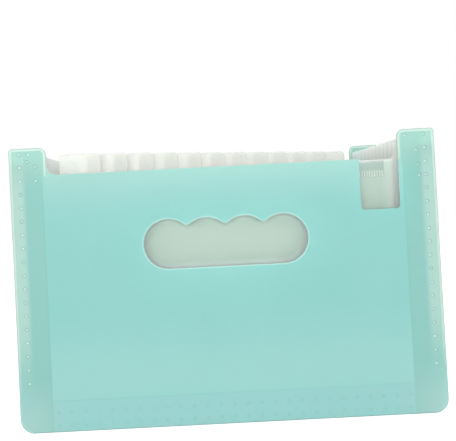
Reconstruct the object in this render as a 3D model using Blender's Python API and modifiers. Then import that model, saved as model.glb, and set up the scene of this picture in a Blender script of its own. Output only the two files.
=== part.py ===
"""Accordion file folder in frosted sheet plastic, standing partly open on its lower edges.

Two die-cut covers hold twelve tabbed dividers between them, and thirteen pleated gussets join each sheet
to the next along both sides and the bottom, so the folder has thirteen pockets that open and close like a
bellows. Each divider carries a clear index sleeve along its top edge. X runs along the covers, Y from the
front cover to the back cover, and Z up; the origin is under the middle of the folder. Lengths are metres.
"""
import math

import bmesh
import bpy

# Counts
DIVIDER_COUNT = 12
POCKET_COUNT = DIVIDER_COUNT + 1
FINGER_COUNT = 4

# Spacing of the sheets at rest, between their middle planes
POCKET_PITCH = 0.010

# Clearance between pieces that touch on the real folder, and the distance that welds meeting points
CLEARANCE = 0.0003
WELD_DISTANCE = 0.00001

# Cover sheets
COVER_WIDTH = 0.250
COVER_HEIGHT = 0.1665
COVER_THICKNESS = 0.0008
COVER_CORNER_RADIUS = 0.008
PANEL_EDGE_HEIGHT = 0.1502
WING_WIDTH = 0.0219
WING_OUTER_RADIUS = 0.0022
WING_INNER_RADIUS = 0.0042
WING_FOOT_RADIUS = 0.0055

# Notch in the front cover, beside its right wing
NOTCH_WIDTH = 0.0228
NOTCH_DEPTH = 0.0298
NOTCH_RADIUS = 0.0023
NOTCH_LIP_RADIUS = 0.0008

# Carrying hole with finger scallops along its upper side
FINGER_PITCH = 0.0225
FINGER_RADIUS = 0.0146
FINGER_RIDGE_RADIUS = 0.0030
HOLE_BOTTOM_HEIGHT = 0.0917

# Divider sheets, with an ear at each end and one index tab
DIVIDER_THICKNESS = 0.00035
DIVIDER_EDGE_DROP = 0.0005
EAR_HEIGHT = 0.1614
EAR_RADIUS = 0.0030
EAR_FOOT_RADIUS = 0.0030
TAB_WIDTH = 0.0252
TAB_RISE = 0.0128
TAB_RADIUS = 0.0030
TAB_FOOT_RADIUS = 0.0012

# Clear index sleeve along each divider's top edge and over its tab
SLEEVE_END_GAP = 0.0058
SLEEVE_DEPTH = 0.0105
SLEEVE_THICKNESS = 0.0002
SLEEVE_TAB_INSET = 0.0005
SLEEVE_RADIUS = 0.0010

# Gusset strip: welded margin, pleat, and the small curl that wraps each divider's edge
GUSSET_THICKNESS = 0.0002
GUSSET_MARGIN = 0.0080
GUSSET_COVER_INSET = 0.0010
GUSSET_SIDE_DEPTH = 0.0190
GUSSET_BOTTOM_DEPTH = 0.0175
GUSSET_FOLD_RADIUS = 0.0006
GUSSET_TOP_DROP = 0.0040

# Facets
CORNER_STEPS = 5
GUSSET_CORNER_STEPS = 4
FINGER_STEPS = 10
RIDGE_STEPS = 4
CURL_STEPS = 3
FOLD_STEPS = 4

# Values that follow from the sizes above
HALF_WIDTH = COVER_WIDTH / 2
COVER_HALF = COVER_THICKNESS / 2
DIVIDER_HALF = DIVIDER_THICKNESS / 2
GUSSET_HALF = GUSSET_THICKNESS / 2
FRONT_Y = -POCKET_PITCH * POCKET_COUNT / 2
WING_INNER_X = HALF_WIDTH - WING_WIDTH
DIVIDER_EDGE_HEIGHT = PANEL_EDGE_HEIGHT - DIVIDER_EDGE_DROP
CURL_RADIUS = DIVIDER_HALF + CLEARANCE + GUSSET_HALF
DIVIDER_INSET = CURL_RADIUS + GUSSET_HALF
TAB_TOP_HEIGHT = DIVIDER_EDGE_HEIGHT + TAB_RISE
SLEEVE_SPAN = (WING_INNER_X - SLEEVE_END_GAP) * 2
TAB_PITCH = (SLEEVE_SPAN - TAB_WIDTH) / (DIVIDER_COUNT - 1)
GUSSET_TOP_HEIGHT = EAR_HEIGHT - GUSSET_TOP_DROP

# Colours as linear red, green, blue and alpha
MINT = (0.33, 0.70, 0.64, 1.0)
MILKY = (0.80, 0.82, 0.78, 1.0)
MILKY_FILM = (0.76, 0.80, 0.76, 1.0)
CLEAR_FILM = (0.86, 0.90, 0.88, 1.0)


def clear_scene():
    """Remove every object that the scene starts with."""
    for scene_object in list(bpy.data.objects):
        bpy.data.objects.remove(scene_object, do_unlink=True)


def new_collection(name):
    """Return a new collection in the scene."""
    collection = bpy.data.collections.new(name)
    bpy.context.scene.collection.children.link(collection)
    return collection


def plastic(name, colour, roughness):
    """Return a plain plastic material."""
    material = bpy.data.materials.new(name)
    material.use_nodes = True
    shader = material.node_tree.nodes["Principled BSDF"]
    shader.inputs["Base Color"].default_value = colour
    shader.inputs["Roughness"].default_value = roughness
    shader.inputs["Metallic"].default_value = 0.0
    material.diffuse_color = colour
    return material


def sheet_y(index):
    """Middle plane of a sheet: 0 is the front cover, then the dividers, then the back cover."""
    return FRONT_Y + POCKET_PITCH * index


def arc_points(centre, radius, start, end, steps):
    """Points along an arc in the sheet's plane, both ends included."""
    points = []
    for step in range(steps + 1):
        angle = start + (end - start) * step / steps
        points.append((centre[0] + radius * math.cos(angle), centre[1] + radius * math.sin(angle)))
    return points


def rounded_outline(corners):
    """Closed outline through corners given as (x, z, radius), each corner rounded by its radius."""
    points = []
    for index, (x, z, radius) in enumerate(corners):
        before = corners[index - 1]
        after = corners[(index + 1) % len(corners)]
        angle_in = math.atan2(z - before[1], x - before[0])
        angle_out = math.atan2(after[1] - z, after[0] - x)
        turn = math.remainder(angle_out - angle_in, math.tau)
        if radius == 0:
            points.append((x, z))
            continue
        reach = radius * math.tan(abs(turn) / 2)
        side = math.copysign(math.pi / 2, turn)
        centre_x = x - reach * math.cos(angle_in) + radius * math.cos(angle_in + side)
        centre_z = z - reach * math.sin(angle_in) + radius * math.sin(angle_in + side)
        start = angle_in - side
        points += arc_points((centre_x, centre_z), radius, start, start + turn, CORNER_STEPS)
    return points


def finger_hole_outline():
    """Outline of the carrying hole: one round bump for each finger, with a rounded ridge between bumps."""
    axis_z = HOLE_BOTTOM_HEIGHT + FINGER_RADIUS
    half_pitch = FINGER_PITCH / 2
    ridge_rise = math.sqrt((FINGER_RADIUS + FINGER_RIDGE_RADIUS) ** 2 - half_pitch ** 2)
    touch = math.atan2(ridge_rise, half_pitch)
    last = FINGER_COUNT - 1
    points = []
    for finger in range(FINGER_COUNT):
        bump_x = FINGER_PITCH * (last / 2 - finger)
        start = -math.pi / 2 if finger == 0 else touch
        end = math.pi * 3 / 2 if finger == last else math.pi - touch
        points += arc_points((bump_x, axis_z), FINGER_RADIUS, start, end, FINGER_STEPS)
        if finger < last:
            ridge = (bump_x - half_pitch, axis_z + ridge_rise)
            ridge_arc = arc_points(ridge, FINGER_RIDGE_RADIUS, -touch, touch - math.pi, RIDGE_STEPS)
            points += ridge_arc[1:-1]
    return points


def cover_outline(notched):
    """Cover outline: a wing at each end rises past the panel's edge, and the front one has the notch."""
    corners = [
        (-HALF_WIDTH, 0, COVER_CORNER_RADIUS),
        (HALF_WIDTH, 0, COVER_CORNER_RADIUS),
        (HALF_WIDTH, COVER_HEIGHT, WING_OUTER_RADIUS),
        (WING_INNER_X, COVER_HEIGHT, WING_INNER_RADIUS),
    ]
    if notched:
        notch_left = WING_INNER_X - NOTCH_WIDTH
        notch_floor = PANEL_EDGE_HEIGHT - NOTCH_DEPTH
        corners += [
            (WING_INNER_X, notch_floor, NOTCH_RADIUS),
            (notch_left, notch_floor, NOTCH_RADIUS),
            (notch_left, PANEL_EDGE_HEIGHT, NOTCH_LIP_RADIUS),
        ]
    else:
        corners += [(WING_INNER_X, PANEL_EDGE_HEIGHT, WING_FOOT_RADIUS)]
    corners += [
        (-WING_INNER_X, PANEL_EDGE_HEIGHT, WING_FOOT_RADIUS),
        (-WING_INNER_X, COVER_HEIGHT, WING_INNER_RADIUS),
        (-HALF_WIDTH, COVER_HEIGHT, WING_OUTER_RADIUS),
    ]
    return rounded_outline(corners)


def tab_left(index):
    """Left side of the index tab on a divider; the first is at the left and each next one steps right."""
    return -SLEEVE_SPAN / 2 + TAB_PITCH * (index - 1)


def divider_outline(index):
    """Divider outline: ears at both ends and the index tab at this divider's place."""
    outer_x = HALF_WIDTH - DIVIDER_INSET
    left = tab_left(index)
    right = left + TAB_WIDTH
    corner_radius = COVER_CORNER_RADIUS - DIVIDER_INSET
    return rounded_outline([
        (-outer_x, DIVIDER_INSET, corner_radius),
        (outer_x, DIVIDER_INSET, corner_radius),
        (outer_x, EAR_HEIGHT, EAR_RADIUS),
        (WING_INNER_X, EAR_HEIGHT, EAR_RADIUS),
        (WING_INNER_X, DIVIDER_EDGE_HEIGHT, EAR_FOOT_RADIUS),
        (right, DIVIDER_EDGE_HEIGHT, TAB_FOOT_RADIUS),
        (right, TAB_TOP_HEIGHT, TAB_RADIUS),
        (left, TAB_TOP_HEIGHT, TAB_RADIUS),
        (left, DIVIDER_EDGE_HEIGHT, TAB_FOOT_RADIUS),
        (-WING_INNER_X, DIVIDER_EDGE_HEIGHT, EAR_FOOT_RADIUS),
        (-WING_INNER_X, EAR_HEIGHT, EAR_RADIUS),
        (-outer_x, EAR_HEIGHT, EAR_RADIUS),
    ])


def sleeve_outline(index):
    """Sleeve outline: a strip below the divider's edge and a window that stands over the tab."""
    half_span = SLEEVE_SPAN / 2
    floor = DIVIDER_EDGE_HEIGHT - SLEEVE_DEPTH
    strip_top = DIVIDER_EDGE_HEIGHT - SLEEVE_TAB_INSET
    window_top = TAB_TOP_HEIGHT - SLEEVE_TAB_INSET
    left = tab_left(index) + SLEEVE_TAB_INSET
    right = tab_left(index) + TAB_WIDTH - SLEEVE_TAB_INSET
    window_radius = TAB_RADIUS - SLEEVE_TAB_INSET
    corners = [(-half_span, floor, SLEEVE_RADIUS), (half_span, floor, SLEEVE_RADIUS)]
    corners += [(half_span, strip_top, 0), (right, strip_top, 0)]
    corners += [(right, window_top, window_radius), (left, window_top, window_radius)]
    corners += [(left, strip_top, 0), (-half_span, strip_top, 0)]
    return rounded_outline(corners)


def sheet_object(name, outlines, y, thickness, material, collection):
    """Cut a flat sheet from its outlines, the first one outside and the rest holes, and stand it at y."""
    curve = bpy.data.curves.new(name, "CURVE")
    curve.dimensions = "2D"
    curve.fill_mode = "BOTH"
    curve.extrude = thickness / 2
    for outline in outlines:
        spline = curve.splines.new("POLY")
        spline.points.add(len(outline) - 1)
        for point, (x, z) in zip(spline.points, outline):
            point.co = (x, z, 0, 1)
        spline.use_cyclic_u = True
    drawing = bpy.data.objects.new(name, curve)
    collection.objects.link(drawing)
    drawing.rotation_euler = (math.pi / 2, 0, 0)
    drawing.location = (0, y, 0)
    bpy.context.view_layer.update()
    mesh = bpy.data.meshes.new_from_object(drawing.evaluated_get(bpy.context.evaluated_depsgraph_get()))
    placement = drawing.matrix_world.copy()
    bpy.data.objects.remove(drawing, do_unlink=True)
    bpy.data.curves.remove(curve)
    shape = bmesh.new()
    shape.from_mesh(mesh)
    bmesh.ops.remove_doubles(shape, verts=shape.verts, dist=WELD_DISTANCE)
    shape.to_mesh(mesh)
    shape.free()
    mesh.name = name
    mesh.materials.clear()
    mesh.materials.append(material)
    sheet = bpy.data.objects.new(name, mesh)
    sheet.matrix_world = placement
    collection.objects.link(sheet)
    return sheet


def margin_points(wraps_divider, face_y):
    """Strip centre line over one sheet's margin, from its outer end inward, as (inset, y off the sheet)."""
    if not wraps_divider:
        return [(GUSSET_COVER_INSET, face_y), (GUSSET_MARGIN, face_y)]
    first_angle = math.asin(CLEARANCE / 2 / CURL_RADIUS)
    points = []
    for step in range(CURL_STEPS + 1):
        angle = first_angle + (math.pi / 2 - first_angle) * step / CURL_STEPS
        points.append((DIVIDER_INSET - CURL_RADIUS * math.cos(angle), CURL_RADIUS * math.sin(angle)))
    points.append((GUSSET_MARGIN, face_y))
    return points


def sheet_face(index):
    """Distance from a sheet's middle plane to the centre line of a gusset margin that lies on it."""
    is_cover = index in (0, POCKET_COUNT)
    half_thickness = COVER_HALF if is_cover else DIVIDER_HALF
    return half_thickness + CLEARANCE + GUSSET_HALF


def pleat_profile(pocket):
    """Cross-section of a gusset as (inset from the outer edge, y in world), from front sheet to back sheet."""
    front_y = sheet_y(pocket - 1)
    back_y = sheet_y(pocket)
    front_face = sheet_face(pocket - 1)
    back_face = sheet_face(pocket)
    front = [(n, front_y + y) for n, y in margin_points(pocket > 1, front_face)]
    back = [(n, back_y - y) for n, y in margin_points(pocket < POCKET_COUNT, back_face)]
    fold_y = (front_y + front_face + back_y - back_face) / 2
    fold_n = GUSSET_SIDE_DEPTH - GUSSET_HALF
    slope = math.atan2(fold_y - front_y - front_face, fold_n - GUSSET_MARGIN)
    fold = []
    for step in range(FOLD_STEPS + 1):
        angle = (math.pi / 2 - slope) * (1 - 2 * step / FOLD_STEPS)
        inset = fold_n - GUSSET_FOLD_RADIUS + GUSSET_FOLD_RADIUS * math.cos(angle)
        fold.append((inset, fold_y - GUSSET_FOLD_RADIUS * math.sin(angle)))
    return front + fold + back[::-1]


def bottom_inset(inset):
    """Inset along the bottom where the strip has this inset at the side, as the bottom pleat is shallower."""
    pleat_share = (GUSSET_BOTTOM_DEPTH - GUSSET_MARGIN) / (GUSSET_SIDE_DEPTH - GUSSET_MARGIN)
    return min(inset, GUSSET_MARGIN) + max(inset - GUSSET_MARGIN, 0) * pleat_share


def left_path(inset):
    """Left half of the strip's path at an inset: down the side, round the corner and to the middle."""
    radius = max(COVER_CORNER_RADIUS - inset, 0)
    floor = bottom_inset(inset)
    centre = (max(COVER_CORNER_RADIUS, inset) - HALF_WIDTH, max(COVER_CORNER_RADIUS, floor))
    corner = arc_points(centre, radius, math.pi, math.pi * 3 / 2, GUSSET_CORNER_STEPS)
    return [(inset - HALF_WIDTH, GUSSET_TOP_HEIGHT)] + corner + [(0, floor)]


def gusset_object(pocket, material, collection):
    """Fold a strip to the pleat's cross-section, down the side, round the mitred corner and along below."""
    profile = pleat_profile(pocket)
    paths = [left_path(inset) for inset, _ in profile]
    columns = len(profile)
    rows = len(paths[0])
    shape = bmesh.new()
    bmesh.ops.create_grid(shape, x_segments=columns - 1, y_segments=rows - 1, size=HALF_WIDTH)
    shape.verts.ensure_lookup_table()
    for row in range(rows):
        for column, (_, y) in enumerate(profile):
            x, z = paths[column][row]
            shape.verts[row * columns + column].co = (x, y, z)
    bmesh.ops.remove_doubles(shape, verts=shape.verts, dist=WELD_DISTANCE)
    mesh = bpy.data.meshes.new(f"gusset_{pocket:02d}")
    shape.to_mesh(mesh)
    shape.free()
    mesh.materials.append(material)
    gusset = bpy.data.objects.new(mesh.name, mesh)
    collection.objects.link(gusset)
    mirror = gusset.modifiers.new("Other side", "MIRROR")
    mirror.use_axis = (True, False, False)
    mirror.merge_threshold = WELD_DISTANCE
    wall = gusset.modifiers.new("Film thickness", "SOLIDIFY")
    wall.thickness = GUSSET_THICKNESS
    wall.offset = 0
    wall.use_even_offset = True
    return gusset


def build_folder():
    """Build every piece of the folder."""
    clear_scene()
    folder = new_collection("accordion_file_folder")
    mint = plastic("frosted_mint_sheet", MINT, 0.45)
    milky = plastic("milky_divider_sheet", MILKY, 0.5)
    film = plastic("milky_gusset_film", MILKY_FILM, 0.45)
    clear = plastic("clear_sleeve_film", CLEAR_FILM, 0.2)
    hole = finger_hole_outline()
    sheet_object("front_cover", [cover_outline(True), hole], sheet_y(0), COVER_THICKNESS, mint, folder)
    back_y = sheet_y(POCKET_COUNT)
    sheet_object("back_cover", [cover_outline(False), hole], back_y, COVER_THICKNESS, mint, folder)
    sleeve_offset = DIVIDER_HALF + CLEARANCE + SLEEVE_THICKNESS / 2
    for index in range(1, DIVIDER_COUNT + 1):
        y = sheet_y(index)
        name = f"divider_{index:02d}"
        sheet_object(name, [divider_outline(index)], y, DIVIDER_THICKNESS, milky, folder)
        name = f"index_sleeve_{index:02d}"
        sheet_object(name, [sleeve_outline(index)], y - sleeve_offset, SLEEVE_THICKNESS, clear, folder)
    for pocket in range(1, POCKET_COUNT + 1):
        gusset_object(pocket, film, folder)


build_folder()
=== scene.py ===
"""Looks of the accordion file folder: frosted covers, milky dividers, clear sleeves and pleated gussets.

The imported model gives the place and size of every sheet. Each sheet is drawn again, finely cut, with broken
edges and pressed weld marks, and each gusset as a film bellows that follows the two sheets it joins.
Lengths are metres and angles radians; X runs along the covers, Y from the front cover to the back cover,
and Z up.
"""
from __future__ import annotations

import logging
import math
from dataclasses import dataclass
from enum import Enum, IntEnum
from typing import Optional, Sequence, Union

import bmesh
import bpy
from bmesh.types import BMEdge, BMesh, BMFace, BMVert
from bpy.types import Material, Node, NodeSocket, NodeTree, Object
from mathutils import Matrix, Vector


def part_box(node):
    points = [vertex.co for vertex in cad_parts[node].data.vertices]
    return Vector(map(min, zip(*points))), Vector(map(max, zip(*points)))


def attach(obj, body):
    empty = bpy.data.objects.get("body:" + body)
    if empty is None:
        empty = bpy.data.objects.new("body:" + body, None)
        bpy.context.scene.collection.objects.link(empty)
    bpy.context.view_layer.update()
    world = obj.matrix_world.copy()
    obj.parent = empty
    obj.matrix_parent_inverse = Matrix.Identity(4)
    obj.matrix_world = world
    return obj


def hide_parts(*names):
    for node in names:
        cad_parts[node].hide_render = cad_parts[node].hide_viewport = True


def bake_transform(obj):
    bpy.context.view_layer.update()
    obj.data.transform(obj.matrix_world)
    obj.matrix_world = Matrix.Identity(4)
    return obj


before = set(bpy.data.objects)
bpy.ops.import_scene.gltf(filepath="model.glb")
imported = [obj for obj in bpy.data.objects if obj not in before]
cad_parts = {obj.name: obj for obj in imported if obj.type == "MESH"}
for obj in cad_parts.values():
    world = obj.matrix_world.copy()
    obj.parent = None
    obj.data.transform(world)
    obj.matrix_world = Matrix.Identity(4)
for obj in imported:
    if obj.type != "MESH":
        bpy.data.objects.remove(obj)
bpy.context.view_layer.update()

LOG = logging.getLogger("folder")
Pair = tuple[float, float]
Source = Union[Node, NodeSocket]
# Node types that are used often.
MATH = "ShaderNodeMath"
VECTOR_MATH = "ShaderNodeVectorMath"
MAP_RANGE = "ShaderNodeMapRange"

MM = 0.001
# Sizes that several pieces share with each other, or with the zones of colour on them.
CORNER_RADIUS = 8 * MM
PANEL_EDGE = 150.2 * MM
WING_INNER = 103.1 * MM
WING_OUTER_RADIUS = 2.2 * MM
WING_INNER_RADIUS = 4.2 * MM
FINGERS = 4
FINGER_PITCH = 22.5 * MM
FINGER_RADIUS = 14.6 * MM
HOLE_BOTTOM = 91.7 * MM
# Height of the fingers' centres, and how far from the middle the outer ones are.
HOLE_AXIS = HOLE_BOTTOM + FINGER_RADIUS
HOLE_REACH = FINGER_PITCH * (FINGERS - 1) / 2


class Slot(str, Enum):
    """The record's material slots."""

    COVER = "cover_sheet"
    DIVIDER = "divider_sheet"
    GUSSET = "gusset_film"
    SLEEVE = "sleeve_film"


class Side(IntEnum):
    """A side of a sheet: 1 looks to the front and -1 to the back."""

    FRONT = 1
    BACK = -1


class Layer(IntEnum):
    """What a face of a cut sheet is, which says what material it takes."""

    FACE = 0
    CUT_EDGE = 1
    WELD = 2
    RIM = 3
    OPEN = 4


Materials = dict[Layer, Material]


def add_node(tree: NodeTree, kind: str, inputs: Optional[dict] = None,
             **settings: object) -> Node:
    """Add one node with its settings and inputs.

    Args:
        tree: The node tree that takes the node.
        kind: The node's type name.
        inputs: By the input's name or number, a value, a socket, or a node for its first output.
        **settings: The node's own properties.

    Returns:
        The new node.
    """
    node = tree.nodes.new(kind)
    for name, value in settings.items():
        setattr(node, name, value)
    for name, value in (inputs or {}).items():
        if isinstance(value, Node):
            value = value.outputs[0]
        if isinstance(value, NodeSocket):
            tree.links.new(value, node.inputs[name])
        else:
            node.inputs[name].default_value = value
    return node


def linear(hex_colour: str) -> tuple[float, float, float, float]:
    """Turn an sRGB hex colour into linear red, green, blue and alpha.

    Args:
        hex_colour: A colour such as "#99D7D2".

    Returns:
        The linear colour, with an alpha of 1.
    """
    channels = []
    for start in (1, 3, 5):
        share = int(hex_colour[start:start + 2], 16) / 255
        channels.append(share / 12.92 if share <= 0.04045 else ((share + 0.055) / 1.055) ** 2.4)
    return (*channels, 1.0)


class Measure(str, Enum):
    """What a zone of colour is measured by, in metres on the sheet."""

    UP = "height above the lower edge"
    SIDE = "distance in from the nearer side"
    RIM = "distance in from the outline"
    HOLE = "distance in from the carrying hole's outline"
    RIGHT = "distance to the right of the middle"
    BACK = "distance behind the middle"


# Short names for the tables of zones.
UP, SIDE, RIM, HOLE, RIGHT, BACK = Measure


@dataclass(frozen=True)
class Limit:
    """A soft border of a zone, in mm: it starts to show at one distance and shows in full at another."""

    measure: Measure
    start: float
    full: float


@dataclass(frozen=True)
class Zone:
    """A part of a sheet with a colour of its own, inside all of its limits: most zones here are painted light
    and shade.
    """

    colour: str
    strength: float
    limits: tuple[Limit, ...]


@dataclass(frozen=True)
class Silhouette:
    """The outline that a sheet's zones follow: a rounded rectangle with a wing above each end.

    The carrying hole is taken as a slot with round ends.
    """

    half_width: float = 125 * MM
    height: float = 166.5 * MM
    # Below the panel's edge a wing has no inner side, so its rim narrows away there, within 2 mm.
    rim_fade: float = 1.2

    def measures(self, tree: NodeTree, place: NodeSocket) -> dict[Measure, Source]:
        """Measure a point of the sheet.

        Args:
            tree: The material's node tree.
            place: The point on the object.

        Returns:
            Where each measure comes from.
        """
        axes = add_node(tree, "ShaderNodeSeparateXYZ", {"Vector": place})
        up = axes.outputs["Z"]
        across = add_node(tree, MATH, {0: axes.outputs["X"]}, operation="ABSOLUTE")
        side = add_node(tree, MATH, {0: self.half_width, 1: across}, operation="SUBTRACT")
        drop = add_node(tree, MATH, {0: self.height, 1: up}, operation="SUBTRACT")
        below = add_node(tree, MATH, {0: PANEL_EDGE, 1: up}, operation="SUBTRACT", use_clamp=True)
        past = add_node(tree, MATH, {0: across, 1: WING_INNER}, operation="SUBTRACT")
        # Between the wings this adds a metre, so nothing there is near a wing's inner side.
        panel = add_node(tree, MATH, {0: past, 1: 0.0}, operation="LESS_THAN")
        faded = add_node(tree, MATH, {0: below, 1: self.rim_fade, 2: past}, operation="MULTIPLY_ADD")
        wing = add_node(tree, MATH, {0: faded, 1: panel}, operation="ADD")
        rim = self.half_width
        for first, second, radius in (
                (side, up, CORNER_RADIUS),
                (side, drop, WING_OUTER_RADIUS),
                (wing, drop, WING_INNER_RADIUS)):
            point = add_node(tree, "ShaderNodeCombineXYZ", {0: first, 1: second})
            centre = add_node(tree, VECTOR_MATH, {0: (radius, radius, 0), 1: point}, operation="SUBTRACT")
            outward = add_node(tree, VECTOR_MATH, {0: centre, 1: (0, 0, 0)}, operation="MAXIMUM")
            reach = add_node(tree, VECTOR_MATH, {0: outward}, operation="LENGTH").outputs["Value"]
            inset = add_node(tree, MATH, {0: radius, 1: reach}, operation="SUBTRACT")
            rim = add_node(tree, MATH, {0: rim, 1: inset}, operation="MINIMUM")
        beyond = add_node(tree, MATH, {0: across, 1: HOLE_REACH}, operation="SUBTRACT", use_clamp=True)
        off = add_node(tree, MATH, {0: up, 1: HOLE_AXIS}, operation="SUBTRACT")
        point = add_node(tree, "ShaderNodeCombineXYZ", {0: beyond, 1: off})
        reach = add_node(tree, VECTOR_MATH, {0: point}, operation="LENGTH").outputs["Value"]
        hole = add_node(tree, MATH, {0: FINGER_RADIUS, 1: reach}, operation="SUBTRACT")
        return {UP: up, SIDE: side, RIM: rim, HOLE: hole, RIGHT: axes.outputs["X"], BACK: axes.outputs["Y"]}


@dataclass(frozen=True)
class PlasticFinish:
    """A frosted or clear polypropylene finish.

    Polypropylene sheet is calendered between a smooth and a grained roll, so it is matt, scatters light
    through its thickness and varies a little in thickness, which the eye reads as faint cloudy patches.
    """

    name: str
    colour: str
    cloud_colour: str
    roughness: float = 0.4
    scatter: float = 0.5 * MM
    opacity: float = 1.0
    ior: float = 1.49
    # The roll's grain is about 0.1 mm across; it is drawn at 0.9 mm so that it shows at all.
    grain_size: float = 0.9 * MM
    grain_depth: float = 0.03 * MM
    grain_detail: float = 2.0
    grain_range: Pair = (0.3, 0.7)
    grain_strength: float = 0.5
    sheen_spread: float = 0.05
    cloud_size: float = 48 * MM
    cloud_detail: float = 1.5
    cloud_range: Pair = (0.35, 0.65)
    zones: tuple[Zone, ...] = ()

    def colour_nodes(self, tree: NodeTree, place: NodeSocket) -> NodeSocket:
        """Vary the colour in broad soft patches, and lay the sheet's zones over them.

        Args:
            tree: The material's node tree.
            place: The point on the object.

        Returns:
            The colour.
        """
        noise = add_node(tree, "ShaderNodeTexNoise", {
            "Vector": place, "Scale": 1 / self.cloud_size, "Detail": self.cloud_detail})
        low, high = self.cloud_range
        share = add_node(tree, MAP_RANGE, {"Value": noise, "From Min": low, "From Max": high})
        # A colour mix takes its factor and colours at 0, 6 and 7, and gives its result at 2.
        colour = add_node(tree, "ShaderNodeMix", {
            0: share, 6: linear(self.colour), 7: linear(self.cloud_colour)}, data_type="RGBA").outputs[2]
        measures = Silhouette().measures(tree, place) if self.zones else {}
        for zone in self.zones:
            weight = zone.strength
            for limit in zone.limits:
                span = {"From Min": limit.start * MM, "From Max": limit.full * MM}
                inside = add_node(tree, MAP_RANGE, {"Value": measures[limit.measure], **span},
                                  interpolation_type="SMOOTHSTEP")
                weight = add_node(tree, MATH, {0: weight, 1: inside}, operation="MULTIPLY")
            colour = add_node(tree, "ShaderNodeMix", {0: weight, 6: colour, 7: linear(zone.colour)},
                              data_type="RGBA").outputs[2]
        return colour

    def make(self) -> Material:
        """Make the material.

        Returns:
            The material, ready for a piece.
        """
        material = bpy.data.materials.new(self.name)
        material.use_nodes = True
        tree = material.node_tree
        shader = tree.nodes["Principled BSDF"]
        values = {
            "IOR": self.ior, "Alpha": self.opacity, "Subsurface Weight": 1.0 if self.scatter else 0.0,
            "Subsurface Radius": (1.0, 1.0, 1.0), "Subsurface Scale": self.scatter}
        for name, value in values.items():
            shader.inputs[name].default_value = value
        place = add_node(tree, "ShaderNodeTexCoord").outputs["Object"]
        tree.links.new(self.colour_nodes(tree, place), shader.inputs["Base Color"])
        grain = add_node(tree, "ShaderNodeTexNoise", {
            "Vector": place, "Scale": 1 / self.grain_size, "Detail": self.grain_detail})
        low, high = self.grain_range
        sheen = add_node(tree, MAP_RANGE, {
            "Value": grain, "From Min": low, "From Max": high,
            "To Min": self.roughness - self.sheen_spread, "To Max": self.roughness + self.sheen_spread})
        tree.links.new(sheen.outputs[0], shader.inputs["Roughness"])
        relief = add_node(tree, "ShaderNodeBump", {
            "Strength": self.grain_strength, "Distance": self.grain_depth, "Height": grain})
        tree.links.new(relief.outputs[0], shader.inputs["Normal"])
        return material


ABOVE_CORNERS = Limit(UP, 14, 70)
NEAR_BOTTOM = Limit(UP, 24, 16)
BELOW_EDGE = Limit(UP, 149.7, 147.2)

# Calendered mint sheet with a fine frost, under painted light and shade: painted shade, deeper where the
# pleats stand behind it, and painted light, greener where the gusset margin is welded on and palest along the
# rim, which stands free.
COVER_FACE = PlasticFinish("frosted_polypropylene_mint", "#93D2CC", "#96D4CE", 0.55, 2 * MM, zones=(
    # Painted highlight: the top of the panel is lighter, as the lamp's sheen falls there.
    Zone("#A6D7D1", 0.9, (Limit(UP, 120, 150),)),
    # Painted light: a lighter band low on the panel, just above the bottom pleat's fold.
    Zone("#A8DDD7", 0.7, (Limit(UP, 17.5, 19), Limit(UP, 74, 26))),
    # Painted light through the sheet: the band below the bottom pleat's fold is lighter.
    Zone("#A0D6D3", 1.0, (Limit(UP, 18.5, 16.8),)),
    # Painted shade: deeper mint where the side pleats stand behind the sheet.
    Zone("#93CDC5", 1.0, (Limit(SIDE, 19.4, 18.4),)),
    # Painted shade: a darker line along the fold of the side pleats behind the sheet.
    Zone("#89C6BE", 0.5, (Limit(SIDE, 19.8, 19.2), Limit(SIDE, 18, 18.9))),
    # Painted light: greener and paler where the gusset margin is welded on behind.
    Zone("#B5DCD0", 1.0, (Limit(SIDE, 10, 6.2), ABOVE_CORNERS)),
    # Painted light: the wings above the panel's edge are paler, as light comes through them from behind.
    Zone("#A6D0C4", 0.8, (Limit(UP, 140, 158),)),
    # Painted light: paler towards the lower corners.
    Zone("#B1D9D3", 0.9, (Limit(SIDE, 36, 2), Limit(UP, 36, 2))),
    # Painted light: the palest band along the rim of the wings, which stands free.
    Zone("#CAE1D6", 1.0, (Limit(RIM, 2, 1.5), ABOVE_CORNERS)),
    # Painted shade: a faint darker line about 2 mm in from the outline, where the film behind ends.
    Zone("#9CCBC0", 0.45, (Limit(RIM, 2.2, 1.9), Limit(RIM, 1.5, 1.75), ABOVE_CORNERS)),
    # A fine dark outline along the edge: partly the cut edge seen from the side, partly painted shade.
    Zone("#8FBAB0", 0.7, (Limit(RIM, 0.65, 0.3),)),
))
# Die-cut edge of the mint sheet: smoother than the face and a little grey, so it draws a fine darker line.
COVER_EDGE = PlasticFinish("die_cut_polypropylene_edge", "#86ACA4", "#90B6AD", 0.3, zones=(
    Zone("#98CFC9", 0.85, (NEAR_BOTTOM,)),
))
# Edge of the punched hole, whitened by the punch: it shows as a pale line round the hole.
COVER_RIM = PlasticFinish("stress_whitened_polypropylene", "#B4DFD8", "#BAE3DC", 0.4)
# Ultrasonic weld spot, melted smooth: a small glossy bead; its paler colour is a painted highlight and
# painted light through the bead.
COVER_WELD = PlasticFinish("ultrasonic_weld_mint", "#B0DCD3", "#D2F0E8", 0.2, cloud_size=6 * MM, zones=(
    Zone("#A1D8D3", 1.0, (NEAR_BOTTOM,)),
))
# Painted light: at the right, where the ears stand in front of the back cover's wing, they take its mint,
# which shows through them.
PAINTED_BACK_WING_LIGHT = Zone("#E8FFF6", 1.0, (Limit(BACK, 0, 45), Limit(RIGHT, 0, 1), Limit(UP, 147, 149)))
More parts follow.
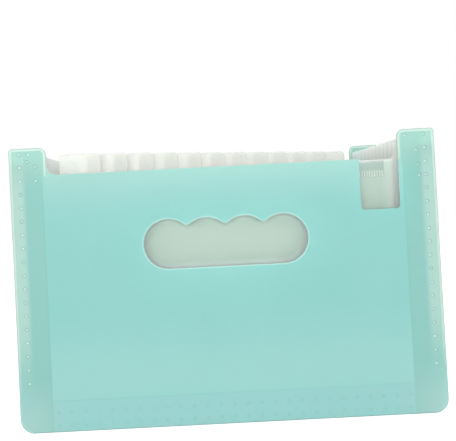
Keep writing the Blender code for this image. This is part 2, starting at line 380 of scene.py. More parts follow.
# Milky sheet: nearly white at its ears and upper edge, with painted light on the ears; below, painted shade,
# faintly green, where light comes through the mint covers, and painted light, paler, by the pleats and in a
# ring where the carrying holes let light in.
DIVIDER_FACE = PlasticFinish("milky_polypropylene_sheet", "#F9FBF1", "#FBFCF5", 0.42, 1 * MM, zones=(
    # Painted shade below the edge, inside the pockets, green from the light through the mint covers.
    Zone("#C0D9CA", 1.0, (BELOW_EDGE,)),
    # Painted light: a paler ring round the carrying hole, where it lets light in.
    Zone("#E9FFF3", 1.0, (Limit(HOLE, 3.5, -1.2), Limit(HOLE, -9, -4))),
    # Painted light: paler towards the pleats, which glow with light through them.
    Zone("#DFECE2", 1.0, (Limit(SIDE, 31, 22), BELOW_EDGE)),
    # Painted light: nearly white just by the pleats.
    Zone("#FDFFFD", 1.0, (Limit(SIDE, 22.5, 19.5), BELOW_EDGE)),
    # Painted light: the ears brighter and a little greener.
    Zone("#F5FFF4", 1.0, (Limit(SIDE, 23, 21), Limit(UP, 144, 149))),
    PAINTED_BACK_WING_LIGHT,
))
# The same sheet at the tabs, which stand in the open: light comes through, so two tabs that overlap look
# a shade deeper than one.
DIVIDER_OPEN = PlasticFinish("milky_polypropylene_tab", "#FCFEF7", "#FDFEF9", 0.42, 0.0, 0.4)
# Die-cut edge of the milky sheet, which draws a fine line round tabs and ears.
DIVIDER_EDGE = PlasticFinish("die_cut_milky_edge", "#C1CCC2", "#C9D3CA", 0.4)
# Thin milky gusset film: smoother than the sheets, with soft sheen along its folds.
GUSSET_FACE = PlasticFinish("milky_polypropylene_film", "#F6FDF7", "#F9FEF9", 0.36, 0.3 * MM, zones=(
    # The film takes the same painted mint light at the right.
    PAINTED_BACK_WING_LIGHT,
))
# Clear film of the index sleeve: hardly seen but for its gloss, paler over the tab and where it is welded.
SLEEVE_FACE = PlasticFinish(
    "clear_polypropylene_film", "#B4C6C3", "#BACBC8", 0.16, 0.0, 0.24, grain_depth=0.004 * MM, zones=(
        Zone("#F6F9F1", 1.0, (Limit(UP, 149.4, 150.4),)), Zone("#DEEDE3", 1.0, (Limit(UP, 143.7, 142.9),))))
# Slit edge of the clear film, which catches the light as a thin line.
SLEEVE_EDGE = PlasticFinish("slit_clear_film_edge", "#C3D0C8", "#CCD7CF", 0.25, 0.0, 0.35)
# Heat-sealed rib of the sleeve: frosted by the sealing bar, so it shows as a white tick.
SLEEVE_WELD = PlasticFinish("heat_sealed_rib", "#E2E9E2", "#E7EDE6", 0.35, 0.0, 0.75)

COVER_FINISHES = {
    Layer.FACE: COVER_FACE, Layer.CUT_EDGE: COVER_EDGE, Layer.WELD: COVER_WELD, Layer.RIM: COVER_RIM,
}
DIVIDER_FINISHES = {Layer.FACE: DIVIDER_FACE, Layer.CUT_EDGE: DIVIDER_EDGE, Layer.OPEN: DIVIDER_OPEN}
SLEEVE_FINISHES = {Layer.FACE: SLEEVE_FACE, Layer.CUT_EDGE: SLEEVE_EDGE, Layer.WELD: SLEEVE_WELD}


def place_object(name: str, bm: BMesh, materials: Sequence[Material], crease_angle: float = 0.0) -> Object:
    """Shade a bmesh smooth and turn it into an object of the scene.

    Args:
        name: The piece's name.
        bm: The finished mesh, which is freed.
        materials: The piece's materials.
        crease_angle: The angle from which an edge between two faces stays sharp, as borders do.

    Returns:
        The object, at the origin.
    """
    for face in bm.faces:
        face.smooth = True
    for edge in bm.edges:
        edge.smooth = len(edge.link_faces) == 2 and edge.calc_face_angle(0.0) < crease_angle
    mesh = bpy.data.meshes.new(name)
    bm.to_mesh(mesh)
    bm.free()
    for material in materials:
        mesh.materials.append(material)
    piece = bpy.data.objects.new(name, mesh)
    bpy.context.scene.collection.objects.link(piece)
    return piece


def sheet_plane(node: str) -> Pair:
    """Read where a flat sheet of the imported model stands.

    Args:
        node: The node's name.

    Returns:
        The y of its front face and its thickness.
    """
    low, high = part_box(node)
    return low.y, high.y - low.y


@dataclass(frozen=True)
class Corner:
    """One corner of an outline, with the radius that rounds it."""

    x: float
    z: float
    radius: float = 0.0


@dataclass(frozen=True)
class Press:
    """One step of a pressed mark: how far its edge moves in, how far it sinks, and what its slope shows."""

    inward: float
    sink: float
    layer: Layer = Layer.WELD


class CutSheet:
    """A flat sheet that is drawn, filled, pressed and thickened in one bmesh."""

    # The share of the thickness that rounds a cut edge.
    EDGE_BREAK = 0.3
    LIFT = 5 * MM
    RIM_ANGLE = math.radians(60)
    # The least y of a flat face's normal.
    FLAT_NORMAL = 0.95
    CREASE_ANGLE = math.radians(20)

    def __init__(self, front_y: float, thickness: float) -> None:
        """Start an empty sheet.

        Args:
            front_y: The plane of the sheet's front face.
            thickness: The sheet's thickness.
        """
        self.bm = bmesh.new()
        self.front_y = front_y
        self.thickness = thickness
        self.marks: list[BMEdge] = []

    def draw(self, outlines: Sequence[Sequence[Corner]], segments: int) -> list[BMEdge]:
        """Draw closed outlines and round their corners.

        Args:
            outlines: The corners of each outline, in order.
            segments: The number of segments of a rounded corner.

        Returns:
            The edges of the outlines.
        """
        before = set(self.bm.edges)
        by_radius: dict[float, list[BMVert]] = {}
        for outline in outlines:
            verts = [self.bm.verts.new((corner.x, self.front_y, corner.z)) for corner in outline]
            self.bm.faces.new(verts)
            for vert, corner in zip(verts, outline):
                by_radius.setdefault(corner.radius, []).append(vert)
        for radius, verts in by_radius.items():
            if radius > 0:
                bmesh.ops.bevel(self.bm, geom=verts, offset=radius, segments=segments, profile=0.5,
                                affect="VERTICES", clamp_overlap=False, material=-1)
        return [edge for edge in self.bm.edges if edge not in before]

    def draw_arc(self, start: BMVert, centre: Pair, sweep: float, steps: int) -> BMVert:
        """Swing a point about a centre, anticlockwise as seen from the front.

        Args:
            start: The point that is swung.
            centre: The x and z of the centre.
            sweep: The angle, in radians.
            steps: The number of segments.

        Returns:
            The last point of the arc.
        """
        middle = (centre[0], self.front_y, centre[1])
        made = bmesh.ops.spin(self.bm, geom=[start], cent=middle, axis=(0, -1, 0), angle=sweep, steps=steps)
        return next(item for item in made["geom_last"] if isinstance(item, BMVert))

    def draw_spots(self, places: Sequence[Pair], radius: float, segments: int) -> None:
        """Draw round marks that will be pressed.

        Args:
            places: The x and z of each mark.
            radius: The radius of a mark.
            segments: The number of sides of a mark.
        """
        upright = Matrix.Rotation(math.pi / 2, 4, "X")
        for x, z in places:
            place = Matrix.Translation((x, self.front_y, z)) @ upright
            made = bmesh.ops.create_circle(self.bm, radius=radius, segments=segments, matrix=place)
            self.marks += dict.fromkeys(edge for vert in made["verts"] for edge in vert.link_edges)

    def fill(self) -> list[BMFace]:
        """Fill the sheet between its outlines, and each mark by a face of its own.

        Returns:
            The faces of the marks.
        """
        bmesh.ops.delete(self.bm, geom=self.bm.faces[:], context="FACES_ONLY")
        bmesh.ops.triangle_fill(self.bm, use_beauty=True, edges=self.bm.edges[:], normal=(0, -1, 0))
        marks = []
        if self.marks:
            marks = bmesh.ops.edgeloop_fill(self.bm, edges=self.marks, mat_nr=Layer.WELD)["faces"]
        self.bm.normal_update()
        for face in self.bm.faces:
            if face.normal.y > 0:
                face.normal_flip()
        return marks

    def bridge(self, outer: list[BMEdge], inner: list[BMEdge], layer: Layer) -> None:
        """Close the strip between two outlines, with the inner one lifted off the plane meanwhile.

        Args:
            outer: The edges of the outer outline, where the sheet ends.
            inner: The edges of the inner outline.
            layer: The strip's layer.
        """
        verts = list(dict.fromkeys(vert for edge in inner for vert in edge.verts))
        bmesh.ops.translate(self.bm, verts=verts, vec=(0, self.LIFT, 0))
        made = bmesh.ops.bridge_loops(self.bm, edges=outer + inner)
        bmesh.ops.translate(self.bm, verts=verts, vec=(0, -self.LIFT, 0))
        for face in made["faces"]:
            face.material_index = layer

    def press(self, marks: list[BMFace], steps: Sequence[Press], side: Side) -> None:
        """Press each mark into the sheet, one ring at a time.

        Args:
            marks: The faces of the marks.
            steps: The rings, from the outside in.
            side: The side that the marks are pressed from.
        """
        for step in steps:
            made = bmesh.ops.inset_individual(
                self.bm, faces=marks, thickness=step.inward, depth=-step.sink * side, use_even_offset=True)
            for face in made["faces"]:
                face.material_index = step.layer

    def thicken(self) -> None:
        """Give the sheet its thickness and break its cut edges."""
        made = bmesh.ops.extrude_face_region(self.bm, geom=self.bm.faces[:])
        back = [item for item in made["geom"] if isinstance(item, BMVert)]
        bmesh.ops.translate(self.bm, verts=back, vec=(0, self.thickness, 0))
        bmesh.ops.recalc_face_normals(self.bm, faces=self.bm.faces[:])
        rim = [edge for edge in self.bm.edges
               if len(edge.link_faces) == 2 and edge.calc_face_angle(0.0) > self.RIM_ANGLE]
        bmesh.ops.bevel(self.bm, geom=rim, offset=self.thickness * self.EDGE_BREAK, segments=2, profile=0.5,
                        affect="EDGES", clamp_overlap=True, material=-1)
        for face in self.bm.faces:
            if face.material_index == Layer.FACE and abs(face.normal.y) < self.FLAT_NORMAL:
                face.material_index = Layer.CUT_EDGE

    def open_above(self, height: float, reach: float) -> None:
        """Set off the faces above a height, which have nothing close behind them.

        Args:
            height: The height at which the sheet is cut across.
            reach: How far from the middle of the sheet they go.
        """
        everything = self.bm.verts[:] + self.bm.edges[:] + self.bm.faces[:]
        bmesh.ops.bisect_plane(self.bm, geom=everything, plane_co=(0, 0, height), plane_no=(0, 0, 1))
        for face in self.bm.faces:
            middle = face.calc_center_median()
            if face.material_index == Layer.FACE and middle.z > height and abs(middle.x) < reach:
                face.material_index = Layer.OPEN

    def finish(self, name: str, materials: Materials) -> Object:
        """Give each layer its material and make the sheet an object.

        Args:
            name: The piece's name.
            materials: The material of each layer.

        Returns:
            The piece.
        """
        order = list(materials)
        for face in self.bm.faces:
            face.material_index = order.index(face.material_index)
        return place_object(name, self.bm, list(materials.values()), self.CREASE_ANGLE)


@dataclass
class Cover:
    """A die-cut cover with two wings, a carrying hole, weld spots and, on the front, a notch."""

    node: str
    outer_side: Side
    wing_foot_radius: float = 5.5 * MM
    notch_width: float = 22.8 * MM
    notch_depth: float = 29.8 * MM
    notch_radius: float = 2.3 * MM
    notch_lip_radius: float = 0.8 * MM
    finger_ridge_radius: float = 3 * MM
    rim_width: float = 0.7 * MM
    rim_reach: float = 1 * MM
    spot_radius: float = 1.1 * MM
    spot_pitch: float = 7.9 * MM
    spot_inset: float = 6 * MM
    spot_top: float = 3.4 * MM
    spots_per_side: int = 18
    spot_row_end: float = 22 * MM
    spot_rows: tuple[float, ...] = (3.8 * MM, 11.2 * MM)
    # More spots on the wings, in mm in from the cover's end and down from its top.
    left_wing_spots: tuple[Pair, ...] = ((11.3, 3.7), (10.6, 8), (15.1, 11), (15.3, 19.4))
    right_wing_spots: tuple[Pair, ...] = ((17, 4), (11, 12.6), (10.4, 21), (9.8, 27.6))
    # The outer slope of each spot takes the darker cut-edge colour, which adds painted shade to the ring's
    # own slope.
    spot_steps: tuple[Press, ...] = (
        Press(0.26 * MM, 0.14 * MM, Layer.CUT_EDGE), Press(0.1 * MM, 0.04 * MM),
        Press(0.18 * MM, -0.14 * MM), Press(0.2 * MM, -0.04 * MM))
    corner_segments: int = 12
    spot_segments: int = 16
    bump_steps: int = 24
    ridge_steps: int = 8

    def outline(self) -> list[Corner]:
        """Work out the corners of the cover.

        Returns:
            The corners, anticlockwise from the lower left.
        """
        low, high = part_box(self.node)
        corners = [
            Corner(low.x, low.z, CORNER_RADIUS), Corner(high.x, low.z, CORNER_RADIUS),
            Corner(high.x, high.z, WING_OUTER_RADIUS), Corner(WING_INNER, high.z, WING_INNER_RADIUS),
        ]
        if self.outer_side is Side.FRONT:
            floor = PANEL_EDGE - self.notch_depth
            left = WING_INNER - self.notch_width
            corners += [
                Corner(WING_INNER, floor, self.notch_radius),
                Corner(left, floor, self.notch_radius),
                Corner(left, PANEL_EDGE, self.notch_lip_radius),
            ]
        else:
            corners += [Corner(WING_INNER, PANEL_EDGE, self.wing_foot_radius)]
        return corners + [
            Corner(-WING_INNER, PANEL_EDGE, self.wing_foot_radius),
            Corner(-WING_INNER, high.z, WING_INNER_RADIUS),
            Corner(low.x, high.z, WING_OUTER_RADIUS),
        ]

    def draw_finger_hole(self, sheet: CutSheet, margin: float) -> list[BMEdge]:
        """Draw the carrying hole: a bump for each finger, rounded ridges between and a straight floor.

        Args:
            sheet: The sheet that the hole is cut in.
            margin: How far outside the hole the outline runs.

        Returns:
            The edges of the outline.
        """
        before = set(sheet.bm.edges)
        finger_radius = FINGER_RADIUS + margin
        ridge_radius = self.finger_ridge_radius - margin
        half_pitch = FINGER_PITCH / 2
        ridge_rise = math.sqrt((finger_radius + ridge_radius) ** 2 - half_pitch ** 2)
        touch = math.atan2(ridge_rise, half_pitch)
        last = FINGERS - 1
        first = sheet.bm.verts.new((half_pitch * last, sheet.front_y, HOLE_AXIS - finger_radius))
        pen = first
        for finger in range(FINGERS):
            bump_x = half_pitch * (last - 2 * finger)
            start = -math.pi / 2 if finger == 0 else touch
            end = math.pi * 3 / 2 if finger == last else math.pi - touch
            pen = sheet.draw_arc(pen, (bump_x, HOLE_AXIS), end - start, self.bump_steps)
            if finger < last:
                ridge = (bump_x - half_pitch, HOLE_AXIS + ridge_rise)
                pen = sheet.draw_arc(pen, ridge, 2 * touch - math.pi, self.ridge_steps)
        sheet.bm.edges.new((pen, first))
        return [edge for edge in sheet.bm.edges if edge not in before]

    def spot_places(self) -> list[Pair]:
        """Place the weld spots: a column down each side, two rows along the bottom and a few on each wing.

        Returns:
            The x and z of each spot.
        """
        low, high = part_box(self.node)
        column = [high.z - self.spot_top - self.spot_pitch * step for step in range(self.spots_per_side)]
        places = [(side * (high.x - self.spot_inset), z) for side in (-1, 1) for z in column]
        per_row = int((high.x - self.spot_row_end) / self.spot_pitch)
        for z in self.spot_rows:
            places += [(self.spot_pitch * step, z) for step in range(-per_row, per_row + 1)]
        places += [(low.x + inset * MM, high.z - drop * MM) for inset, drop in self.left_wing_spots]
        places += [(high.x - inset * MM, high.z - drop * MM) for inset, drop in self.right_wing_spots]
        return places

    def build(self, materials: Materials) -> Object:
        """Cut the cover, press its weld spots and put it on its body.

        Args:
            materials: The material of each layer.

        Returns:
            The piece.
        """
        front_y, thickness = sheet_plane(self.node)
        sheet = CutSheet(front_y, thickness)
        sheet.draw([self.outline()], self.corner_segments)
        rim = self.draw_finger_hole(sheet, self.rim_width)
        sheet.draw_spots(self.spot_places(), self.spot_radius, self.spot_segments)
        marks = sheet.fill()
        sheet.bridge(rim, self.draw_finger_hole(sheet, 0.0), Layer.RIM)
        sheet.press(marks, self.spot_steps, self.outer_side)
        sheet.thicken()
        # The hole's cut edge is as pale as the strip round it.
        for face in sheet.bm.faces:
            middle = face.calc_center_median()
            beyond = max(abs(middle.x) - HOLE_REACH, abs(middle.z - HOLE_AXIS)) - FINGER_RADIUS
            if face.material_index == Layer.CUT_EDGE and beyond < self.rim_reach:
                face.material_index = Layer.RIM
        piece = sheet.finish(f"{self.node}_sheet", materials)
        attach(piece, self.node)
        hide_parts(self.node)
        return piece


@dataclass
class Divider:
    """A milky divider with ears at both ends and one index tab, and the clear sleeve along its top edge."""

    number: int
    count: int = 12
    inset: float = 0.675 * MM
    edge_height: float = 149.7 * MM
    ear_height: float = 161.4 * MM
    ear_radius: float = 1.8 * MM
    ear_foot_radius: float = 3 * MM
    tab_width: float = 25.2 * MM
    tab_radius: float = 3 * MM
    tab_foot_radius: float = 1.2 * MM
    sleeve_end_gap: float = 5.8 * MM
    sleeve_depth: float = 10.5 * MM
    sleeve_inset: float = 0.5 * MM
    sleeve_radius: float = 1 * MM
    rib_pitch: float = 1.5 * MM
    rib_width: float = 0.55 * MM
    rib_height: float = 3.9 * MM
    rib_radius: float = 0.25 * MM
    rib_lift: float = 0.5 * MM
    rib_press: Press = Press(0.1 * MM, 0.1 * MM)
    open_margin: float = 0.1 * MM
    corner_segments: int = 10
    sleeve_segments: int = 8
    rib_segments: int = 3

    @property
    def name(self) -> str:
        """The divider's node."""
        return f"divider_{self.number:02d}"

    @property
    def half_span(self) -> float:
        """Half the length of the sleeve."""
        return WING_INNER - self.sleeve_end_gap

    @property
    def tab_left(self) -> float:
        """The left side of the index tab, which steps right from one divider to the next."""
        pitch = (self.half_span * 2 - self.tab_width) / (self.count - 1)
        return pitch * (self.number - 1) - self.half_span

    def outline(self) -> list[Corner]:
        """Work out the corners of the divider.

        Returns:
            The corners, anticlockwise from the lower left.
        """
        low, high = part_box(self.name)
        left, right = self.tab_left, self.tab_left + self.tab_width
        lower = CORNER_RADIUS - self.inset
        return [
            Corner(low.x, low.z, lower), Corner(high.x, low.z, lower),
            Corner(high.x, self.ear_height, self.ear_radius),
            Corner(WING_INNER, self.ear_height, self.ear_radius),
            Corner(WING_INNER, self.edge_height, self.ear_foot_radius),
            Corner(right, self.edge_height, self.tab_foot_radius),
            Corner(right, high.z, self.tab_radius), Corner(left, high.z, self.tab_radius),
            Corner(left, self.edge_height, self.tab_foot_radius),
            Corner(-WING_INNER, self.edge_height, self.ear_foot_radius),
            Corner(-WING_INNER, self.ear_height, self.ear_radius),
            Corner(low.x, self.ear_height, self.ear_radius),
        ]

    def sleeve_outline(self) -> list[Corner]:
        """Work out the corners of the sleeve: a strip below the edge and a window over the tab.

        Returns:
            The corners, anticlockwise from the lower left.
        """
        _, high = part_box(self.name)
        left = self.tab_left + self.sleeve_inset
        right = self.tab_left + self.tab_width - self.sleeve_inset
        strip_top = self.edge_height - self.sleeve_inset
        window_top = high.z - self.sleeve_inset
        window_radius = self.tab_radius - self.sleeve_inset
        floor = self.edge_height - self.sleeve_depth
        return [
            Corner(-self.half_span, floor, self.sleeve_radius),
            Corner(self.half_span, floor, self.sleeve_radius),
            Corner(self.half_span, strip_top), Corner(right, strip_top),
            Corner(right, window_top, window_radius), Corner(left, window_top, window_radius),
            Corner(left, strip_top), Corner(-self.half_span, strip_top),
        ]

    def ribs(self) -> list[list[Corner]]:
        """Work out the comb of heat-sealed ribs along the sleeve's lower edge.

        Returns:
            The corners of each rib.
        """
        floor = self.edge_height - self.sleeve_depth + self.rib_lift
        count = int((self.half_span - self.rib_pitch / 2) / self.rib_pitch)
        half, ceiling = self.rib_width / 2, floor + self.rib_height
        places = ((-half, floor), (half, floor), (half, ceiling), (-half, ceiling))
        return [[Corner(step * self.rib_pitch + across, z, self.rib_radius) for across, z in places]
                for step in range(-count, count + 1)]

    def build(self, materials: Materials) -> Object:
        """Cut the divider and put it on its body.

        Args:
            materials: The material of each layer.

        Returns:
            The piece.
        """
        sheet = CutSheet(*sheet_plane(self.name))
        sheet.draw([self.outline()], self.corner_segments)
        sheet.fill()
        sheet.thicken()
        sheet.open_above(self.edge_height + self.open_margin, self.half_span)
        piece = sheet.finish(f"{self.name}_sheet", materials)
        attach(piece, self.name)
        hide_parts(self.name)
        return piece

    def build_sleeve(self, materials: Materials) -> Object:
        """Cut the clear sleeve, press its comb of ribs and put it on the divider's body.

        Args:
            materials: The material of each layer.

        Returns:
            The piece.
        """
        node = f"index_sleeve_{self.number:02d}"
        sheet = CutSheet(*sheet_plane(node))
        sheet.draw([self.sleeve_outline()], self.sleeve_segments)
        sheet.marks = sheet.draw(self.ribs(), self.rib_segments)
        marks = sheet.fill()
        sheet.press(marks, [self.rib_press], Side.FRONT)
        sheet.thicken()
        piece = sheet.finish(f"{node}_film", materials)
        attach(piece, self.name)
        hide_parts(node)
        return piece


@dataclass
class Gusset:
    """A pleated film that joins one sheet to the next down both sides and along the bottom."""

    pocket: int
    pockets: int = 13
    clearance: float = 0.3 * MM
    thickness: float = 0.2 * MM
    margin: float = 8 * MM
    cover_inset: float = 1 * MM
    side_depth: float = 19 * MM
    bottom_depth: float = 17.5 * MM
    fold_radius: float = 0.6 * MM
    wall_bow: float = 0.35
    pucker: float = 0.12 * MM
    pucker_pitch: float = 7.9 * MM
    row_step: float = 2.6 * MM
    blend_margin: float = 0.2 * MM
    merge_distance: float = 0.01 * MM
    crease_angle: float = math.radians(40)
    curl_steps: int = 6
    wall_steps: int = 8
    fold_steps: int = 8
    corner_steps: int = 8

    @property
    def node(self) -> str:
        """The gusset's node."""
        return f"gusset_{self.pocket:02d}"

    @property
    def fold_inset(self) -> float:
        """How far in from the outer edge the fold's centre lies."""
        return self.side_depth - self.thickness / 2 - self.fold_radius

    def sheet(self, index: int) -> str:
        """Name the node and body of a sheet.

        Args:
            index: 0 for the front cover, then the dividers, then the back cover.

        Returns:
            The name.
        """
        if index == 0:
            return "front_cover"
        return "back_cover" if index == self.pockets else f"divider_{index:02d}"

    def sheet_middle(self, index: int) -> Pair:
        """Find a sheet's middle plane.

        Args:
            index: The sheet.

        Returns:
            The plane's y, and the distance from it to the middle of a film that lies on the sheet.
        """
        front_y, thickness = sheet_plane(self.sheet(index))
        return front_y + thickness / 2, thickness / 2 + self.clearance + self.thickness / 2

    def margin_profile(self, index: int, face: float) -> list[Pair]:
        """Profile of the welded margin on one sheet, from its outer end inward.

        Args:
            index: The sheet.
            face: The distance from the sheet's middle to the film's middle.

        Returns:
            Points as the inset from the outer edge and the distance from the sheet's middle.
        """
        if index in (0, self.pockets):
            return [(self.cover_inset, face), (self.margin / 2, face), (self.margin, face)]
        first = math.asin(self.clearance / 2 / face)
        end = face + self.thickness / 2
        points = []
        for step in range(self.curl_steps + 1):
            angle = first + (math.pi / 2 - first) * step / self.curl_steps
            points.append((end - face * math.cos(angle), face * math.sin(angle)))
        return points + [(self.margin / 2, face), (self.margin, face)]

    def wall_profile(self, face: float, reach: float) -> list[Pair]:
        """Profile of one wall of the pleat, from the weld to the fold, bowed as the film springs.

        Args:
            face: The distance from the sheet's middle to the film's middle at the weld.
            reach: The same distance at the fold.

        Returns:
            Points as the inset and the distance from the sheet's middle.
        """
        points = []
        for step in range(1, self.wall_steps + 1):
            share = step / self.wall_steps
            bowed = share * (1 - self.wall_bow) + share * share * self.wall_bow
            inset = self.margin + (self.fold_inset - self.margin) * share
            points.append((inset, face + (reach - face) * bowed))
        return points

    def profile(self) -> list[Pair]:
        """The film's cross-section, from the front sheet over the fold to the back sheet.

        Returns:
            Points as the inset from the outer edge and y.
        """
        front_y, front_face = self.sheet_middle(self.pocket - 1)
        back_y, back_face = self.sheet_middle(self.pocket)
        fold_y = (front_y + front_face + back_y - back_face) / 2
        rise = fold_y - front_y - front_face
        slope = math.atan2(rise, self.fold_inset - self.margin) * (1 + self.wall_bow)
        touch = self.fold_radius * math.cos(slope)
        front = self.margin_profile(self.pocket - 1, front_face)
        front += self.wall_profile(front_face, fold_y - front_y - touch)
        back = self.margin_profile(self.pocket, back_face)
        back += self.wall_profile(back_face, back_y - fold_y - touch)
        fold = []
        for step in range(1, self.fold_steps):
            angle = (math.pi / 2 - slope) * (1 - 2 * step / self.fold_steps)
            inset = self.fold_inset + self.fold_radius * math.cos(angle)
            fold.append((inset, fold_y - self.fold_radius * math.sin(angle)))
        front = [(inset, front_y + y) for inset, y in front]
        return front + fold + [(inset, back_y - y) for inset, y in reversed(back)]

    def path(self, inset: float, top: float, half_width: float) -> list[Pair]:
        """Left half of the film's route at one inset: down the side, round the corner and to the middle.

        Args:
            inset: The distance in from the outer edge.
            top: The height of the film's upper end.
            half_width: Half the width of the covers.

        Returns:
            Points as x and z.
        """
        share = (self.bottom_depth - self.margin) / (self.side_depth - self.margin)
        floor = min(inset, self.margin) + max(inset - self.margin, 0) * share
        radius = max(CORNER_RADIUS - inset, 0)
        centre = Vector((max(CORNER_RADIUS, inset) - half_width, max(CORNER_RADIUS, floor)))
        side_rows = round((top - CORNER_RADIUS) / self.row_step)
        floor_rows = round((half_width - CORNER_RADIUS) / self.row_step)
        fall = centre.y - top
        points = [(inset - half_width, top + fall * row / side_rows) for row in range(side_rows)]
        for step in range(self.corner_steps + 1):
            angle = math.pi + math.pi / 2 * step / self.corner_steps
            points.append((centre.x + radius * math.cos(angle), centre.y + radius * math.sin(angle)))
        return points + [(centre.x * (1 - row / floor_rows), floor) for row in range(1, floor_rows + 1)]

    def build(self, material: Material) -> Object:
        """Lay the film along its route and let it follow the two sheets it joins.

        Args:
            material: The film's material.

        Returns:
            The piece.
        """
        profile = self.profile()
        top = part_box(self.node)[1].z
        half_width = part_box("front_cover")[1].x
        routes = [self.path(inset, top, half_width) for inset, _ in profile]
        columns, rows = len(profile), len(routes[0])
        bm = bmesh.new()
        bmesh.ops.create_grid(bm, x_segments=columns - 1, y_segments=rows - 1, size=half_width)
        bm.verts.ensure_lookup_table()
        for row in range(rows):
            for column, (inset, y) in enumerate(profile):
                x, z = routes[column][row]
                depth = max(inset - self.margin, 0) / (self.side_depth - self.margin)
                along = (z if row < rows / 2 else x) / self.pucker_pitch
                ripple = self.pucker * math.sin(math.tau * along) * math.sin(math.pi * min(depth, 1))
                bm.verts[row * columns + column].co = (x, y + ripple, z)
        bmesh.ops.remove_doubles(bm, verts=bm.verts, dist=self.merge_distance)
        everything = bm.verts[:] + bm.edges[:] + bm.faces[:]
        bmesh.ops.mirror(bm, geom=everything, merge_dist=self.merge_distance, axis="X")
        bmesh.ops.recalc_face_normals(bm, faces=bm.faces[:])
        piece = place_object(f"{self.node}_film", bm, [material], self.crease_angle)
        wall = piece.modifiers.new("Film thickness", "SOLIDIFY")
        wall.thickness = self.thickness
        wall.offset = 0
        wall.use_even_offset = True
        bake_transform(piece)
        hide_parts(self.node)
        return piece


@dataclass(frozen=True)
class Lamp:
    """A softbox: where it hangs, its width and height, and the light it adds on a sheet that faces it.

    A level of 1 shows a sheet's colour as written.
    """

    name: str
    place: tuple[float, float, float]
    size: Pair
    level: float


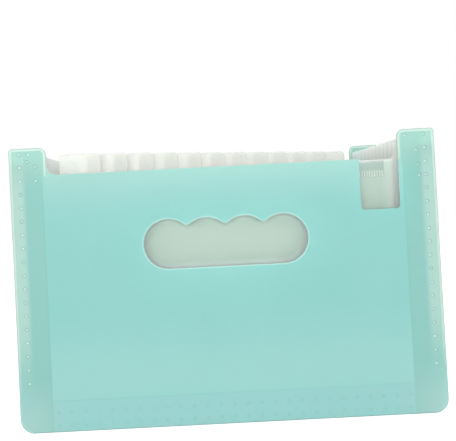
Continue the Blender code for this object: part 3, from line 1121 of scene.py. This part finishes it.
@dataclass
class Studio:
    """Plain pale floor, soft light and the camera at the photograph's angle."""

    floor_size: float = 6.0
    floor_colour: str = "#F4F4F4"
    floor_roughness: float = 0.9
    # The camera sees the floor partly as plain white light, which thins its shadow.
    glow_share: float = 0.62
    glow_level: float = 1.45
    sky_level: float = 0.55
    lamps: tuple[Lamp, ...] = (
        Lamp("key_lamp", (-0.11, -1.5, 0.22), (1.2, 0.5), 0.49),
        Lamp("back_lamp", (0.3, 1.3, 0.9), (1.2, 1.0), 0.42))
    lamp_aim: float = 80 * MM
    camera_x: float = -20.7 * MM
    camera_z: float = 129.5 * MM
    camera_distance: float = 440.6 * MM
    camera_pitch: float = 0.0175
    camera_roll: float = -0.0517
    camera_near: float = 10 * MM
    focal_pixels: float = 750.8
    centre_pixel: Pair = (188.0, 190.1)
    picture: Pair = (456.0, 441.0)
    sensor: float = 36.0

    def build_floor(self) -> None:
        """Lay the floor, pale to the eye, with the folder's own soft shadow."""
        bm = bmesh.new()
        bmesh.ops.create_grid(bm, x_segments=1, y_segments=1, size=self.floor_size / 2)
        material = bpy.data.materials.new("matt_white_paper")
        material.use_nodes = True
        tree = material.node_tree
        shader = tree.nodes["Principled BSDF"]
        shader.inputs["Base Color"].default_value = linear(self.floor_colour)
        shader.inputs["Roughness"].default_value = self.floor_roughness
        rays = add_node(tree, "ShaderNodeLightPath").outputs
        seen = add_node(tree, MATH, {0: rays["Is Camera Ray"], 1: rays["Is Transmission Ray"]},
                        operation="MAXIMUM")
        share = add_node(tree, MATH, {0: seen, 1: self.glow_share}, operation="MULTIPLY")
        glow = add_node(tree, "ShaderNodeEmission", {"Color": (1, 1, 1, 1), "Strength": self.glow_level})
        mix = add_node(tree, "ShaderNodeMixShader", {0: share, 1: shader, 2: glow})
        tree.links.new(mix.outputs[0], tree.nodes["Material Output"].inputs["Surface"])
        floor = place_object("floor", bm, [material])

    def build_sky(self) -> None:
        """Light the scene evenly, and show plain white where nothing stands."""
        world = bpy.data.worlds.new("even_white")
        bpy.context.scene.world = world
        world.use_nodes = True
        tree = world.node_tree
        rays = add_node(tree, "ShaderNodeLightPath").outputs
        seen = rays["Is Camera Ray"]
        for name in ("Is Glossy Ray", "Is Transmission Ray"):
            seen = add_node(tree, MATH, {0: seen, 1: rays[name]}, operation="MAXIMUM")
        level = add_node(tree, MAP_RANGE, {"Value": seen, "To Min": self.sky_level, "To Max": 1.0})
        background = tree.nodes["Background"]
        background.inputs["Color"].default_value = (1, 1, 1, 1)
        tree.links.new(level.outputs[0], background.inputs["Strength"])

    def add_lamp(self, lamp: Lamp) -> None:
        """Hang one softbox that faces the folder.

        Args:
            lamp: The softbox.
        """
        light = bpy.data.lights.new(lamp.name, "AREA")
        light.shape = "RECTANGLE"
        light.size, light.size_y = lamp.size
        offset = Vector(lamp.place) - Vector((0, 0, self.lamp_aim))
        light.energy = lamp.level * math.pi ** 2 * offset.length_squared
        holder = bpy.data.objects.new(lamp.name, light)
        holder.location = lamp.place
        holder.rotation_euler = offset.to_track_quat("Z", "Y").to_euler()
        bpy.context.scene.collection.objects.link(holder)

    def build_camera(self) -> None:
        """Stand the camera where the photograph was taken."""
        front_y, thickness = sheet_plane("front_cover")
        forward = Vector((0, math.cos(self.camera_pitch), math.sin(self.camera_pitch)))
        level_right = Vector((1, 0, 0))
        level_up = level_right.cross(forward)
        right = level_right * math.cos(self.camera_roll) + level_up * math.sin(self.camera_roll)
        up = level_up * math.cos(self.camera_roll) - level_right * math.sin(self.camera_roll)
        data = bpy.data.cameras.new("photo_camera")
        data.sensor_width = self.sensor
        width, height = self.picture
        data.lens = self.focal_pixels * self.sensor / width
        data.shift_x = (width / 2 - self.centre_pixel[0]) / width
        data.shift_y = (self.centre_pixel[1] - height / 2) / width
        data.clip_start = self.camera_near
        camera = bpy.data.objects.new("photo_camera", data)
        turn = Matrix((right, up, -forward)).transposed().to_4x4()
        place = (self.camera_x, front_y + thickness / 2 - self.camera_distance, self.camera_z)
        camera.matrix_world = Matrix.Translation(place) @ turn
        bpy.context.scene.collection.objects.link(camera)
        bpy.context.scene.camera = camera

    def build(self) -> None:
        """Set up the floor, the light, the camera and the view."""
        bpy.context.scene.view_settings.view_transform = "Standard"
        self.build_floor()
        self.build_sky()
        for lamp in self.lamps:
            self.add_lamp(lamp)
        self.build_camera()


def main() -> None:
    """Build the studio and dress every piece of the folder, front to back."""
    logging.basicConfig(level=logging.INFO, format="%(name)s: %(message)s")
    Studio().build()
    cover_materials, divider_materials, sleeve_materials = (
        {layer: finish.make() for layer, finish in finishes.items()}
        for finishes in (COVER_FINISHES, DIVIDER_FINISHES, SLEEVE_FINISHES))
    gusset_material = GUSSET_FACE.make()
    pieces = [Cover("front_cover", Side.FRONT).build(cover_materials)]
    for pocket in range(1, Gusset.pockets + 1):
        pieces.append(Gusset(pocket).build(gusset_material))
        if pocket < Gusset.pockets:
            divider = Divider(pocket)
            pieces.append(divider.build(divider_materials))
            pieces.append(divider.build_sleeve(sleeve_materials))
    pieces.append(Cover("back_cover", Side.BACK).build(cover_materials))
    for piece in pieces:
        LOG.info("%s: %d faces", piece.name, len(piece.data.polygons))


if __name__ == "__main__":
    main()
